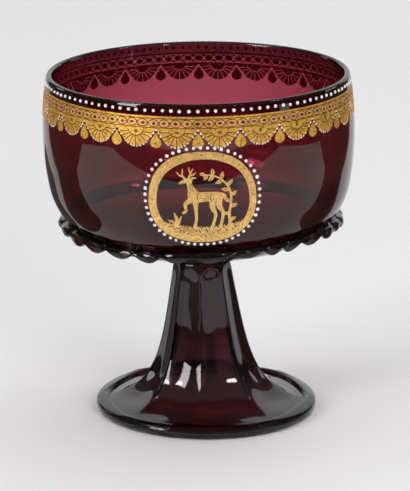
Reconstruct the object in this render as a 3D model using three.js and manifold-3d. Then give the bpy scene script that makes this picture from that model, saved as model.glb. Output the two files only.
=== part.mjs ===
// Footed glass bowl with a crimped trail, a gilt band and a beaded gilt roundel. Millimetres, +Z up.
// The origin is the middle of the foot's resting ring, on the table. The roundel faces -Y.
import * as THREE from "three";
import { TessellateModifier } from "three/addons/modifiers/TessellateModifier.js";
import { mergeVertices } from "three/addons/utils/BufferGeometryUtils.js";
import Module from "manifold-3d";

// Bowl: its wall, its turn and its base are three arcs, each tangent to the next
const bowlDepth = 89.8; // underside of the base to the top of the lip
const bowlRadius = 79; // at the waist, where the wall is widest
const waistHeight = 61.2; // above the underside of the base
const wallBulgeRadius = 157;
const turnRadius = 37;
const baseCrownRadius = 375;
const bowlWall = 3; // the lip is as thick, and round
const bowlLean = THREE.MathUtils.degToRad(0.6); // the hand-made bowl tips a little to -X

// Foot: blown hollow, ribbed in a mould, flared, and folded under at its edge
const footHeight = 82;
const footRadius = 56.8;
const foldRadius = 3.3; // round section of the folded edge
const foldWear = 0.2; // how far the fold is worn flat where it rests
const creaseAngle = THREE.MathUtils.degToRad(150); // where the flare meets the fold's round section
const footWall = 2.6;
const neckRadius = 15.4;
const neckHeight = 72;
const footTopRadius = 8.5; // flat disc that carries the join
const flareReach = 25.8; // how far the flare runs in level from the fold before it turns up
const flareRise = 42; // how far the neck runs down before it turns out
const neckSplay = 7; // how much wider the neck is there
const ribCount = 8;
const ribDepth = 0.105; // hollow between two ribs, as a share of the radius
const ribTurn = THREE.MathUtils.degToRad(-3.3);
const footShift = 3.9; // the foot stands off the bowl's axis by this much at the table
const joinShift = 1.5; // and by this much at its top

// Join between foot and bowl
const joinRadius = 11.5;
const joinHeight = 4.7;
const joinRound = 1.8;
const joinGap = 0.3;

// Crimped trail round the turn of the bowl
const trailRise = 15; // middle of its root above the underside of the base
const trailRootHeight = 5.6;
const trailReach = 5.4; // out from the wall
const trailDroop = THREE.MathUtils.degToRad(20);
const trailThickness = 3.4;
const trailEdgeThickness = 2.7; // just short of its rounded outer edge
const waveCount = 28;
const waveHeight = 3.6; // crest to trough at the outer edge, more than at the root
const rootWaveHeight = 0.9;
const trailGap = 0.3;
const trailShoulder = 0.45; // places along the reach where its thickness is set
const trailEdge = 0.85;
const sagDepth = 1.9; // the trail was laid on by hand: it sags at the front left
const sagTurn = THREE.MathUtils.degToRad(-31);
const climbHeight = 1.2; // and climbs at the right
const climbTurn = THREE.MathUtils.degToRad(65);

// Gilding and enamel
const gildThickness = 0.3;
const gildGap = 0.2;
const bandDrop = 5.4; // top edge below the top of the lip
const stripeDepth = 7.2; // from the top edge down to the middle of each scallop
const scallopCount = 24;
const scallopRadius = 7.6;
const notchHeight = 2.7; // the notches beside a scallop, above its lowest point
const dropRadius = 2.7; // tip of the drop between two scallops
const dropShort = 0.2; // how much higher than the scallops the drops end
const ringWidth = 3.8;
const ringHalfWidth = 26.5;
const ringCurvePower = 2.2; // a plain number: 2 is an ellipse, more is squarer
const roundelTurn = THREE.MathUtils.degToRad(1.35);
const beadRadius = 0.82;
const beadHeight = 0.75;
const beadCount = 51;
const beadInset = 1.75; // from the middle of a bead to the ring
const bandToBeads = 0.35;
const beadsToTrail = 1.6;
const figureGap = 0.3; // between the ring and the ground

// Fineness
const roundSteps = 54;
const ribSteps = 6; // round each rib of the foot
const waveSteps = 6; // along each wave of the trail
const beadSides = 7;
const maxGildEdge = 7;

const wasm = await Module();
wasm.setup();

// Materials
const finish = (color, roughness, metalness) =>
  new THREE.MeshStandardMaterial({ color, roughness, metalness });
const purpleGlass = finish(0x4a1526, 0.05, 0);
const darkGlass = finish(0x241019, 0.06, 0);
const gold = finish(0xcf9f4a, 0.35, 0.9);
const whiteEnamel = finish(0xf2e9e6, 0.3, 0);

const part = new THREE.Group();
const bowlGroup = new THREE.Group();

function addPiece(group, name, geometry, material) {
  const mesh = new THREE.Mesh(geometry, material);
  mesh.name = name;
  group.add(mesh);
  return mesh;
}

function pointOnArc(centre, radius, angle) {
  return new THREE.Vector2(centre.x + radius * Math.cos(angle), centre.y + radius * Math.sin(angle));
}

// Points on an arc, both ends included.
function arcPoints(centre, radius, from, to, steps) {
  return Array.from({ length: steps + 1 }, (_, i) =>
    pointOnArc(centre, radius, THREE.MathUtils.lerp(from, to, i / steps)),
  );
}

// A closed body of revolution about Z: x of each point is the radius, y the height.
function revolve(profile, steps = roundSteps) {
  return new THREE.LatheGeometry(profile, steps).rotateX(Math.PI / 2);
}

// A closed band round the bowl: one loop of points for each place, joined place to place.
function sweepRound(loops) {
  const size = loops[0].length;
  const index = [];
  loops.forEach((_, i) => {
    const here = i * size;
    const next = ((i + 1) % loops.length) * size;
    for (let j = 0; j < size; j++) {
      const k = (j + 1) % size;
      index.push(here + j, next + j, next + k, here + j, next + k, here + k);
    }
  });
  const geometry = new THREE.BufferGeometry().setFromPoints(loops.flat());
  geometry.setIndex(index);
  return geometry;
}

// Outline of the bowl's outside
const bowlBase = footHeight + joinHeight + joinGap;
const rimHeight = bowlBase + bowlDepth;
const wallCentre = new THREE.Vector2(bowlRadius - wallBulgeRadius, bowlBase + waistHeight);
const baseCentre = new THREE.Vector2(0, bowlBase + baseCrownRadius);
const turnCentre = tangentCentre(
  wallCentre,
  wallBulgeRadius - turnRadius,
  baseCentre,
  baseCrownRadius - turnRadius,
);
const turnStart = turnCentre.clone().sub(baseCentre).angle() - 2 * Math.PI;
const turnEnd = turnCentre.clone().sub(wallCentre).angle() - 2 * Math.PI;
const lipAngle = Math.asin((rimHeight - bowlWall / 2 - wallCentre.y) / (wallBulgeRadius - bowlWall / 2));
const baseLength = baseCrownRadius * (turnStart + Math.PI / 2);
const turnLength = turnRadius * (turnEnd - turnStart);

// The point at the given distances from two centres, on the outer, lower side.
function tangentCentre(first, firstDistance, second, secondDistance) {
  const between = second.clone().sub(first);
  const apart = between.length();
  const along = (firstDistance ** 2 - secondDistance ** 2 + apart ** 2) / (2 * apart);
  const across = Math.sqrt(firstDistance ** 2 - along ** 2);
  const direction = between.normalize();
  return first
    .clone()
    .addScaledVector(direction, along)
    .addScaledVector(new THREE.Vector2(direction.y, -direction.x), across);
}

// Where the outside is, at a distance measured along it from the middle of the base.
function outsideAt(distance) {
  let centre = wallCentre;
  let radius = wallBulgeRadius;
  let angle = turnEnd + (distance - baseLength - turnLength) / wallBulgeRadius;
  if (distance < baseLength) {
    centre = baseCentre;
    radius = baseCrownRadius;
    angle = distance / baseCrownRadius - Math.PI / 2;
  } else if (distance < baseLength + turnLength) {
    centre = turnCentre;
    radius = turnRadius;
    angle = turnStart + (distance - baseLength) / turnRadius;
  }
  return {
    radius: centre.x + radius * Math.cos(angle),
    height: centre.y + radius * Math.sin(angle),
    angle,
  };
}

// The distance along the outside at a height on the wall.
const distanceOnWall = (height) => {
  const angle = Math.asin((height - wallCentre.y) / wallBulgeRadius);
  return baseLength + turnLength + wallBulgeRadius * (angle - turnEnd);
};

// The distance along the outside at a height on the turn.
const distanceOnTurn = (height) => {
  const angle = Math.asin((height - turnCentre.y) / turnRadius);
  return baseLength + turnRadius * (angle - turnStart);
};

// A place on the bowl: across to the right and up the outside, lift away from the glass.
function onBowl(across, distance, lift) {
  const place = outsideAt(distance);
  const turn = roundelTurn + across / place.radius;
  const radius = place.radius + lift * Math.cos(place.angle);
  return new THREE.Vector3(
    radius * Math.sin(turn),
    -radius * Math.cos(turn),
    place.height + lift * Math.sin(place.angle),
  );
}

// Bends a flat piece, drawn in X and Y with its thickness in Z, round the bowl.
function bendOnBowl(geometry, middle) {
  const position = geometry.getAttribute("position");
  for (let i = 0; i < position.count; i++) {
    const lift = gildGap + position.getZ(i);
    const place = onBowl(position.getX(i), middle + position.getY(i), lift);
    position.setXYZ(i, place.x, place.y, place.z);
  }
  return geometry;
}

// Bowl
function bowl() {
  const side = (inset) => [
    ...arcPoints(baseCentre, baseCrownRadius - inset, -Math.PI / 2, turnStart, 2),
    ...arcPoints(turnCentre, turnRadius - inset, turnStart, turnEnd, 5).slice(1),
    ...arcPoints(wallCentre, wallBulgeRadius - inset, turnEnd, lipAngle, 4).slice(1),
  ];
  const lipCentre = pointOnArc(wallCentre, wallBulgeRadius - bowlWall / 2, lipAngle);
  const lip = arcPoints(lipCentre, bowlWall / 2, lipAngle, lipAngle + Math.PI, 4).slice(1, -1);
  return revolve([...side(0), ...lip, ...side(bowlWall).reverse()]);
}

// Foot
function foot() {
  const foldCentre = new THREE.Vector2(footRadius - foldRadius, foldRadius - foldWear);
  const wearAngle = Math.asin(foldCentre.y / foldRadius);
  const crease = pointOnArc(foldCentre, foldRadius, creaseAngle);
  const neck = new THREE.Vector2(neckRadius, neckHeight);
  const flare = new THREE.CubicBezierCurve(
    crease,
    new THREE.Vector2(crease.x - flareReach, crease.y + flareReach / 4),
    new THREE.Vector2(neckRadius + neckSplay, neckHeight - flareRise),
    neck,
  );
  const shoulder = new THREE.QuadraticBezierCurve(
    neck,
    new THREE.Vector2(neckRadius - 1, footHeight),
    new THREE.Vector2(footTopRadius, footHeight),
  );
  const outside = [...flare.getPoints(8), ...shoulder.getPoints(3).slice(1)];
  const inside = outside.map((point, i) => {
    const before = outside[Math.max(i - 1, 0)];
    const after = outside[Math.min(i + 1, outside.length - 1)];
    const along = after.clone().sub(before).normalize();
    return point.clone().add(new THREE.Vector2(-along.y, along.x).multiplyScalar(footWall));
  });
  inside.at(-1).set(footTopRadius - footWall / 2, footHeight - footWall);
  const fold = [
    ...arcPoints(foldCentre, foldRadius, creaseAngle, -wearAngle, 5).slice(1),
    ...arcPoints(foldCentre, foldRadius, wearAngle - Math.PI, -Math.PI * 1.1, 2),
  ];
  const top = [new THREE.Vector2(0, footHeight), ...outside.reverse()];
  const hollow = [...inside, new THREE.Vector2(0, footHeight - footWall)];
  return leanAndRib(revolve([...top, ...fold, ...hollow].reverse(), ribCount * ribSteps), crease.y);
}

// Draws the foot in between its ribs, and leans its axis from the table up to the join.
function leanAndRib(geometry, creaseHeight) {
  const position = geometry.getAttribute("position");
  for (let i = 0; i < position.count; i++) {
    const x = position.getX(i);
    const y = position.getY(i);
    const height = position.getZ(i);
    const angle = Math.atan2(x, -y) - ribTurn;
    const fromFold = THREE.MathUtils.smoothstep(height, creaseHeight, creaseHeight + foldRadius);
    const fromTop = 1 - THREE.MathUtils.smoothstep(height, neckHeight, footHeight);
    const draw = 1 - ribDepth * fromFold * fromTop * Math.abs(Math.sin((ribCount / 2) * angle));
    const shift = THREE.MathUtils.lerp(footShift, joinShift, height / footHeight);
    position.setXYZ(i, x * draw + shift, y * draw, height);
  }
  return geometry;
}

// Join
function join() {
  const lower = new THREE.Vector2(joinRadius - joinRound, joinRound);
  const upper = new THREE.Vector2(joinRadius - joinRound, joinHeight - joinRound);
  const profile = [
    new THREE.Vector2(0, 0),
    ...arcPoints(lower, joinRound, -Math.PI / 2, 0, 3),
    ...arcPoints(upper, joinRound, 0, Math.PI / 2, 3),
    new THREE.Vector2(0, joinHeight),
  ];
  return revolve(profile, roundSteps / 2);
}

// How much higher the trail runs at a turn than its mean height.
function trailDrift(angle) {
  const near = (turn, power) => Math.max(0, Math.cos(angle - turn)) ** power;
  return climbHeight * near(climbTurn, 4) - sagDepth * near(sagTurn, 6);
}

// Crimped trail: a wedge-shaped ridge round the bowl that waves up and down
function crimpedTrail() {
  const steps = waveCount * waveSteps;
  const out = new THREE.Vector2(Math.cos(trailDroop), -Math.sin(trailDroop));
  const loopAt = (angle) => {
    const rootMiddle = bowlBase + trailRise + trailDrift(angle);
    const wave = Math.cos(waveCount * angle) / 2;
    const onWall = (rise) => {
      const place = outsideAt(distanceOnTurn(rootMiddle + rise + rootWaveHeight * wave));
      return new THREE.Vector2(place.radius + trailGap, place.height);
    };
    // A place between the root, at share 0, and the outer edge, at share 1.
    const offWall = (share, rise) => {
      const swing = (waveHeight - rootWaveHeight) * wave * share;
      return onWall(0)
        .addScaledVector(out, trailReach * share)
        .add(new THREE.Vector2(0, rise + swing));
    };
    const section = [
      onWall(-trailRootHeight / 2),
      offWall(trailShoulder, -trailThickness / 2),
      offWall(trailEdge, -trailEdgeThickness / 2),
      offWall(1, 0),
      offWall(trailEdge, trailEdgeThickness / 2),
      offWall(trailShoulder, trailThickness / 2),
      onWall(trailRootHeight / 2),
    ];
    return section.map(
      ({ x, y }) => new THREE.Vector3(x * Math.sin(angle), -x * Math.cos(angle), y),
    );
  };
  return sweepRound(Array.from({ length: steps }, (_, i) => loopAt((2 * Math.PI * i) / steps)));
}

// Gilt band: its lower edge is a row of scallops with a drop between each two
const bandTop = distanceOnWall(rimHeight - bandDrop);
const scallopMiddle = bandTop - stripeDepth;
const bandBottom = scallopMiddle - scallopRadius;

function bandEdge() {
  const halfPitch = (Math.PI * outsideAt(scallopMiddle).radius) / scallopCount;
  const scallopEnd = Math.acos((scallopRadius - notchHeight) / scallopRadius);
  const dropEnd = Math.acos((dropRadius - notchHeight + dropShort) / dropRadius);
  const dropMiddle = new THREE.Vector2(halfPitch, bandBottom + dropShort + dropRadius);
  const down = -Math.PI / 2;
  const middle = new THREE.Vector2(0, scallopMiddle);
  return [
    ...arcPoints(middle, scallopRadius, down - scallopEnd, down + scallopEnd, 5),
    ...arcPoints(dropMiddle, dropRadius, down - dropEnd, down + dropEnd, 2),
  ].map((point) => ({
    turn: (point.x / halfPitch) * (Math.PI / scallopCount),
    distance: point.y,
  }));
}

function giltBand() {
  const rows = 2;
  const edge = bandEdge();
  const loops = [];
  for (let scallop = 0; scallop < scallopCount; scallop++) {
    for (const { turn, distance } of edge) {
      const angle = turn + ((scallop + 0.5) * 2 * Math.PI) / scallopCount;
      const column = (lift) =>
        Array.from({ length: rows + 1 }, (_, row) => {
          const place = onBowl(0, THREE.MathUtils.lerp(distance, bandTop, row / rows), lift);
          return place.applyAxisAngle(new THREE.Vector3(0, 0, 1), angle - roundelTurn);
        });
      loops.push([...column(gildGap + gildThickness), ...column(gildGap).reverse()]);
    }
  }
  return sweepRound(loops);
}

// Roundel: it fills the plain wall between the band's edge and the trail
const trailTop = distanceOnTurn(bowlBase + trailRise + (trailRootHeight + rootWaveHeight) / 2);
const beadsTop = bandBottom - bandToBeads - beadRadius;
const beadsBottom = trailTop + beadsToTrail + beadRadius;
const roundelMiddle = (beadsTop + beadsBottom) / 2;
const ringHalfHeight = (beadsTop - beadsBottom) / 2 - beadInset;

// A rounded, slightly square outline, inset from the ring's outer edge.
function roundelOutline(inset, steps) {
  const power = 2 / ringCurvePower;
  return Array.from({ length: steps }, (_, i) => {
    const angle = (2 * Math.PI * i) / steps;
    const share = (value) => Math.sign(value) * Math.abs(value) ** power;
    return new THREE.Vector2(
      (ringHalfWidth - inset) * share(Math.cos(angle)),
      (ringHalfHeight - inset) * share(Math.sin(angle)),
    );
  });
}

function roundelRing() {
  const outer = roundelOutline(0, roundSteps);
  const inner = roundelOutline(ringWidth, roundSteps);
  const corner = (point, lift) => onBowl(point.x, roundelMiddle + point.y, lift);
  const high = gildGap + gildThickness;
  return sweepRound(
    outer.map((point, i) => [
      corner(point, gildGap),
      corner(point, high),
      corner(inner[i], high),
      corner(inner[i], gildGap),
    ]),
  );
}

// Enamel beads, evenly spaced round the ring
function addBeads() {
  const outline = roundelOutline(-beadInset, 96).map((point) => new THREE.Vector3(point.x, point.y, 0));
  const places = new THREE.CatmullRomCurve3(outline, true).getSpacedPoints(beadCount);
  const side = [0, Math.PI / 4, Math.PI / 2].map(
    (angle) => new THREE.Vector2(beadRadius * Math.cos(angle), beadHeight * Math.sin(angle)),
  );
  const dome = revolve([new THREE.Vector2(0, 0), ...side], beadSides);
  places.slice(0, beadCount).forEach((place, i) => {
    const name = "roundel_bead_" + String(i + 1).padStart(2, "0");
    const bead = addPiece(bowlGroup, name, dome, whiteEnamel);
    const seat = onBowl(place.x, roundelMiddle + place.y, gildGap);
    const outward = onBowl(place.x, roundelMiddle + place.y, gildGap + 1).sub(seat);
    bead.position.copy(seat);
    bead.quaternion.setFromUnitVectors(new THREE.Vector3(0, 0, 1), outward);
  });
}

// Figure in the roundel: a hart under a leafy bough, drawn as tapering brush strokes.
// It is drawn for a ring whose opening is twice drawnHalf in size, then stretched to the real one.
// Each stroke is a row of [across, up, width].
const drawnHalf = new THREE.Vector2(22.5, 20.4);
const groundTop = -14.8; // in the middle
const groundHollow = 1.6; // how much higher the ground is at its sides
const figureStrokes = [
  [[8.6, 1, 3], [6.8, 1.3, 4.8], [2.4, 1.4, 4.8], [-1.4, 1.1, 5.2], [-4.8, 2.1, 5]], // body
  [[-3.9, 2, 5.2], [-5.7, 6, 3.1], [-6.6, 9.4, 2.3]], // neck
  [[-5.9, 9.7, 2.2], [-8.2, 9.5, 2.1], [-10.8, 8.3, 1.2]], // head
  [[-6, 10.2, 1.2], [-4.4, 11, 1.1], [-3, 11, 0.5]], // ear
  [[-6.8, 10.2, 1], [-6, 12.6, 0.9], [-4.6, 15.4, 0.6]], // near antler
  [[-6.2, 12, 0.8], [-4.4, 12.6, 0.7], [-3.2, 13.8, 0.5]],
  [[-5.6, 13.4, 0.7], [-6.4, 15, 0.6], [-6.4, 16.2, 0.5]],
  [[-7.8, 10.2, 1], [-9.6, 12.2, 0.8], [-9.4, 15.4, 0.5]], // far antler
  [[-9, 11.6, 0.8], [-10.8, 12.2, 0.7], [-12.2, 13.8, 0.5]],
  [[-5, 0, 3.2], [-8.2, -2.6, 1.8], [-7.9, -6, 1.2], [-9.2, -7.2, 1.3]], // raised foreleg
  [[-3.4, 0, 3.4], [-3.2, -5.4, 1.8], [-3, -10.4, 1.3], [-3.8, -16, 1.6]], // standing foreleg
  [[7.6, 1.2, 4], [7.9, -3.6, 2.8], [9.8, -7.6, 1.6], [8.6, -16, 1.4]], // hind legs
  [[5.4, 0.4, 4.4], [4.7, -4.4, 2.6], [6.2, -8.2, 1.5], [4.6, -16, 1.4]],
  [[9, 2.6, 1.4], [10.6, 1.8, 1.2], [11, 0.2, 0.7]], // tail
  [[13.4, -15, 1.9], [12.8, -8, 1.3], [13.7, 0, 1.1], [12, 6.8, 1], [6.8, 11.4, 0.8], [1, 12.6, 0.5]],
  [[-12.2, -14.6, 1.4], [-12.4, -11, 1.8], [-13.6, -7.4, 0.5]], // plant
  [[-12.2, -14.6, 1.4], [-11.3, -11.6, 1.5], [-10.2, -9.2, 0.5]],
];
// Leaves of the bough: [across, up, length, direction in degrees].
const leaves = [
  [13.5, -4.6, 3.8, 30],
  [13.2, -1.6, 3.8, 150],
  [13.6, 1.4, 4, 40],
  [12.8, 4.4, 4, 170],
  [12, 6.8, 4, 50],
  [9.6, 9.6, 4, 205],
  [8.8, 10.2, 4, 75],
  [5.6, 11.9, 3.8, 220],
  [5, 12, 3.8, 95],
  [1.4, 12.6, 3, 170],
  [2.4, 12.4, 3.2, 235],
];

function strokeShape(points, steps) {
  const line = new THREE.CatmullRomCurve3(points.map(([x, y, width]) => new THREE.Vector3(x, y, width)));
  const left = [];
  const right = [];
  for (let i = 0; i <= steps; i++) {
    const point = line.getPoint(i / steps);
    const along = line.getTangent(i / steps);
    const aside = new THREE.Vector2(-along.y, along.x).normalize().multiplyScalar(point.z / 2);
    left.push(new THREE.Vector2(point.x, point.y).add(aside));
    right.unshift(new THREE.Vector2(point.x, point.y).sub(aside));
  }
  const tip = (share, reach) => {
    const point = line.getPoint(share);
    const along = line.getTangent(share);
    return new THREE.Vector2(along.x, along.y).setLength((reach * point.z) / 3).add(point);
  };
  return new THREE.Shape([tip(0, -1), ...left, tip(1, 1), ...right]);
}

function leafShape([x, y, length, degrees]) {
  const angle = THREE.MathUtils.degToRad(degrees);
  const at = (share, width) => [
    x + Math.cos(angle) * length * share,
    y + Math.sin(angle) * length * share,
    width,
  ];
  return strokeShape([at(0, 0.6), at(0.5, 1.8), at(0.95, 0.5)], 2);
}

// The ground under the hart: the foot of the ring's opening, below a slightly hollow line.
function groundShape(stretch) {
  const opening = roundelOutline(ringWidth + figureGap, 64).map((point) => point.divide(stretch));
  const edge = opening.filter((point) => point.y < groundTop + groundHollow);
  edge.sort((a, b) => a.x - b.x);
  const dip = new THREE.Vector2(0, groundTop - groundHollow);
  const line = new THREE.QuadraticBezierCurve(edge.at(-1), dip, edge[0]);
  return new THREE.Shape([...edge, ...line.getPoints(8).slice(1, -1)]);
}

function solidOf(shape) {
  const geometry = new THREE.ExtrudeGeometry(shape, { depth: gildThickness, bevelEnabled: false });
  geometry.deleteAttribute("normal");
  geometry.deleteAttribute("uv");
  const merged = mergeVertices(geometry);
  const vertProperties = merged.attributes.position.array;
  const triVerts = merged.index.array;
  return new wasm.Manifold(new wasm.Mesh({ numProp: 3, vertProperties, triVerts }));
}

function roundelFigure() {
  const opening = new THREE.Vector2(ringHalfWidth - ringWidth, ringHalfHeight - ringWidth);
  const stretch = opening.divide(drawnHalf);
  const shapes = [
    groundShape(stretch),
    ...figureStrokes.map((points) => strokeShape(points, (points.length - 1) * 2)),
    ...leaves.map(leafShape),
  ];
  const whole = shapes.map(solidOf).reduce((sum, solid) => sum.add(solid));
  const mesh = whole.scale([stretch.x, stretch.y, 1]).getMesh();
  const geometry = new THREE.BufferGeometry();
  geometry.setAttribute("position", new THREE.BufferAttribute(mesh.vertProperties, 3));
  geometry.setIndex(new THREE.BufferAttribute(mesh.triVerts, 1));
  return bendOnBowl(new TessellateModifier(maxGildEdge, 8).modify(geometry), roundelMiddle);
}

// Assembly: the bowl and all that is fired on it lean together, about the bowl's waist
const waist = bowlBase + waistHeight;
const leaning = new THREE.Group();
leaning.position.z = waist;
leaning.rotation.y = -bowlLean;
bowlGroup.position.z = -waist;
leaning.add(bowlGroup);
part.add(leaning);

addPiece(bowlGroup, "bowl", bowl(), purpleGlass);
addPiece(bowlGroup, "crimped_trail", crimpedTrail(), darkGlass);
addPiece(bowlGroup, "gilt_band", giltBand(), gold);
addPiece(bowlGroup, "roundel_ring", roundelRing(), gold);
addPiece(bowlGroup, "roundel_figure", roundelFigure(), gold);
addBeads();
addPiece(part, "join", join(), darkGlass).position.set(joinShift, 0, footHeight);
addPiece(part, "foot", foot(), darkGlass);

export default part;
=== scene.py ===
import math

import bmesh
import bpy
import numpy as np
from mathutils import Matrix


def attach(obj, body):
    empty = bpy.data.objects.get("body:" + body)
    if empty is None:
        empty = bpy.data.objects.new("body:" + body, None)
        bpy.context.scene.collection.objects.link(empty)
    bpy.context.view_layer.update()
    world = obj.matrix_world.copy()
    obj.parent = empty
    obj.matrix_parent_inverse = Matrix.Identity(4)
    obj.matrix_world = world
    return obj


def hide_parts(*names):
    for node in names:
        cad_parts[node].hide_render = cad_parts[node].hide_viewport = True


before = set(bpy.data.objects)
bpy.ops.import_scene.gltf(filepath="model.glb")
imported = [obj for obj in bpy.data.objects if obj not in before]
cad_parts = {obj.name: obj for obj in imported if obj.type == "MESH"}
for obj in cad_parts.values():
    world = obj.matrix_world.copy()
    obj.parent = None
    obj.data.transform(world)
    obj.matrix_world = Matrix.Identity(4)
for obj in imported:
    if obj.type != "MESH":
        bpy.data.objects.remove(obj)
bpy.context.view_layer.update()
print("frame loaded with", len(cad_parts), "nodes")

mm = 0.001
chance = np.random.default_rng(11)  # one seeded source for every hand-made unevenness


# Shader maths: a socket that adds its own nodes

class Wire:
    def __init__(self, shader, socket):
        self.shader = shader
        self.socket = socket

    def math(self, operation, *values):
        sockets = dict(enumerate(values))
        return self.shader.add("Math", {"operation": operation}, sockets)

    def __add__(self, other):
        return self.math("ADD", self, other)

    def __sub__(self, other):
        return self.math("SUBTRACT", self, other)

    def __rsub__(self, other):
        return self.math("SUBTRACT", other, self)

    def __mul__(self, other):
        return self.math("MULTIPLY", self, other)

    def __truediv__(self, other):
        return self.math("DIVIDE", self, other)

    def __rtruediv__(self, other):
        return self.math("DIVIDE", other, self)

    __radd__ = __add__
    __rmul__ = __mul__


class Shader:
    def __init__(self, tree):
        self.tree = tree
        tree.nodes.clear()

    # One node: its type, its settings, then the values or links of its sockets.
    def add(self, kind, settings=None, sockets=None, output=0):
        node = self.tree.nodes.new("ShaderNode" + kind)
        for key, value in (settings or {}).items():
            if key == "stops":
                ramp = node.color_ramp.elements
                while len(ramp) < len(value):
                    ramp.new(0.5)
                for stop, (place, colour) in zip(ramp, value):
                    stop.position = place
                    stop.color = (*colour, 1)
            else:
                setattr(node, key, value)
        for key, value in (sockets or {}).items():
            if isinstance(value, Wire):
                self.tree.links.new(value.socket, node.inputs[key])
            elif isinstance(value, tuple) and len(value) == 3 and node.inputs[key].type == "RGBA":
                node.inputs[key].default_value = (*value, 1)
            else:
                node.inputs[key].default_value = value
        return Wire(self, node.outputs[output]) if node.outputs else None

    def mix(self, factor, first, second, blend="MIX"):
        settings = {"data_type": "RGBA", "blend_type": blend}
        return self.add("Mix", settings, {0: factor, 6: first, 7: second}, 2)

    def place(self):
        return self.add("TexCoord", output="Object")

    def noise(self, scale, detail=3.0, roughness=0.55):
        sockets = {"Vector": self.place(), "Scale": scale, "Detail": detail, "Roughness": roughness}
        return self.add("TexNoise", {}, sockets)

    # A mask that rises from none to full between two levels of a value.
    def rise(self, value, low, high):
        stops = [(low, (0, 0, 0)), (high, (1, 1, 1))]
        return self.add("ValToRGB", {"stops": stops}, {"Fac": value})

    def bump(self, height, strength, distance):
        return self.add("Bump", {}, {"Height": height, "Strength": strength, "Distance": distance})


def newMaterial(name):
    material = bpy.data.materials.new(name)
    material.use_nodes = True
    return material, Shader(material.node_tree)


def finishMaterial(shader, surface, volume=None):
    sockets = {"Surface": surface}
    if volume:
        sockets["Volume"] = volume
    shader.add("OutputMaterial", {}, sockets)


# Materials

glassLook = {
    "bowlLetThrough": (0.52, 0.09, 0.135),  # share of each colour that passes the thickness below
    "footLetThrough": (0.24, 0.11, 0.13),
    "trailLetThrough": (0.22, 0.14, 0.11),
    "thickness": 3.0,
    "ior": 1.5,
    "waviness": 0.28,
    "waveDepth": 0.6,
    "waves": 26.0,  # noise scales of the broad waves and of the fine streaks in its skin
    "streaks": 240.0,
    "edgeShade": 0.95,  # how much painted shade darkens it where it is seen along the wall
    "bowlTintAndShade": [  # by height in mm: the lip and the lower wall are darker; on the lower wall this is partly thicker glass and partly painted shade of the shadowed floor seen through it
        (87, (0.86, 0.60, 0.62)),
        (104, (0.86, 0.58, 0.60)),
        (110, (0.46, 0.40, 0.44)),
        (122, (0.46, 0.40, 0.44)),
        (138, (0.94, 0.92, 0.94)),
        (150, (0.84, 0.84, 0.86)),
        (168, (0.84, 0.84, 0.86)),
        (171.5, (0.22, 0.16, 0.18)),
        (177, (0.16, 0.12, 0.13)),
    ],
    "footTint": [  # the column is darker than the disc
        (0, (1.0, 1.0, 1.0)),
        (20, (1.0, 1.0, 1.0)),
        (45, (0.45, 0.42, 0.44)),
        (88, (0.45, 0.42, 0.44)),
    ],
    "trailTint": [(90, (0.80, 0.70, 0.64)), (110, (0.80, 0.70, 0.64))],
}


# Clear glass, coloured by how far light travels in it and by a tint by height, with painted shade where it
# is seen along the wall.
def makeGlass(name, letThrough, tintAndShade, streaks=0.03):
    material, shader = newMaterial(name)
    height = shader.add("SeparateXYZ", {}, {"Vector": shader.place()}, 2)
    low, high = tintAndShade[0][0], tintAndShade[-1][0]
    stops = [((level - low) / (high - low), colour) for level, colour in tintAndShade]
    # The tint by height; on the bowl's lower wall it is partly painted shade.
    tintedAndShaded = shader.add("ValToRGB", {"stops": stops}, {"Fac": (height / mm - low) / (high - low)})
    # Painted shade: the glass is darkened where it is seen along the wall.
    facing = shader.add("LayerWeight", {}, {"Blend": 0.5}, "Facing")
    tintedAndShaded = shader.mix(1.0, tintedAndShaded, 1 - facing * glassLook["edgeShade"], "MULTIPLY")
    dark = [-math.log(share) / (glassLook["thickness"] * mm) for share in letThrough]
    density = max(dark)
    colour = tuple(1 - value / density for value in dark)
    waves = shader.noise(glassLook["waves"], 1.0)
    skin = waves + shader.noise(glassLook["streaks"], 2.0) * streaks
    sockets = {
        "Base Color": tintedAndShaded,
        "Roughness": 0.0,
        "IOR": glassLook["ior"],
        "Transmission Weight": 1.0,
        "Normal": shader.bump(skin, glassLook["waviness"], glassLook["waveDepth"] * mm),
    }
    surface = shader.add("BsdfPrincipled", {}, sockets)
    volume = shader.add("VolumeAbsorption", {}, {"Color": colour, "Density": density})
    finishMaterial(shader, surface, volume)
    return material


goldLook = {
    "bright": (1.0, 0.59, 0.11),
    "deep": (0.42, 0.18, 0.025),
    "worn": (0.20, 0.07, 0.015),
    "cell": (0.96, 0.56, 0.20),
    "ring": (1.0, 0.66, 0.24),
    "metallic": 0.65,
    "clouds": 260.0,  # noise scales of its mottling, its grain and its worn specks
    "grain": 1500.0,
    "specks": 900.0,
    "depth": 0.12,
}


# Fired gold: a soft sheen, mottled and grainy, with small worn specks.
def makeGold(name, bright, mottling, wear):
    material, shader = newMaterial(name)
    cloud = shader.noise(goldLook["clouds"], 4.0, 0.7)
    grain = shader.noise(goldLook["grain"], 2.0)
    mottle = shader.rise(cloud * 0.55 + grain * 0.45, 0.38, 0.66)
    specks = shader.rise(shader.noise(goldLook["specks"], 3.0), 0.54, 0.64)
    colour = shader.mix(mottle * mottling, bright, goldLook["deep"])
    colour = shader.mix(specks * wear, colour, goldLook["worn"])
    sockets = {
        "Base Color": colour,
        "Metallic": goldLook["metallic"],
        "Roughness": 0.32 + grain * 0.25,
        "Normal": shader.bump(grain + cloud * 0.6, 0.6, goldLook["depth"] * mm),
    }
    finishMaterial(shader, shader.add("BsdfPrincipled", {}, sockets))
    return material


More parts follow.
